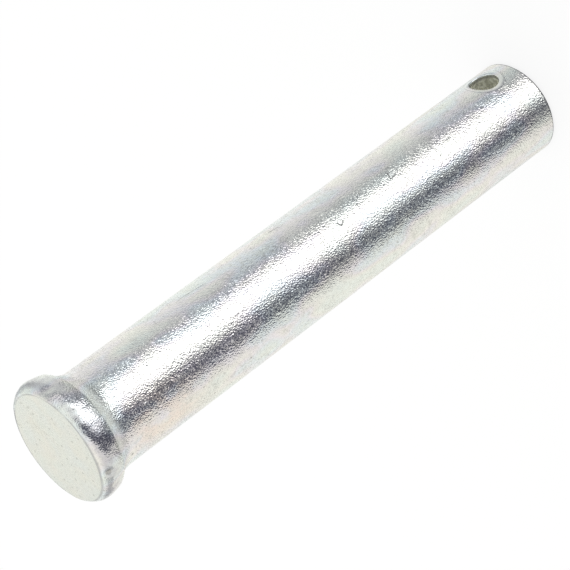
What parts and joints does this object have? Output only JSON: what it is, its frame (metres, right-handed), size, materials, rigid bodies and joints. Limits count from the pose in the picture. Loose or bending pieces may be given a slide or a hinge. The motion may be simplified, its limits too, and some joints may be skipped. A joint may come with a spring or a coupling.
{
  "type": "clevis pin",
  "caption": "Headed cylindrical pin with a bulged round head, a plain chamfered end and a cross hole for a split pin.",
  "frame": {"origin": "centre of the plain end face, on the pin's axis, where the pin stands", "axes": "+Z along the pin's axis, from the plain end up to the head; Y along the cross hole"},
  "size_m": [0.0252, 0.0252, 0.1252],
  "materials": {
    "zinc_plated_steel": "electroplated zinc with a clear passivate, fine pitted grain, semi-gloss"
  },
  "bodies": {
    "root": {"clevis_pin": "zinc_plated_steel"}
  },
  "joints": []
}
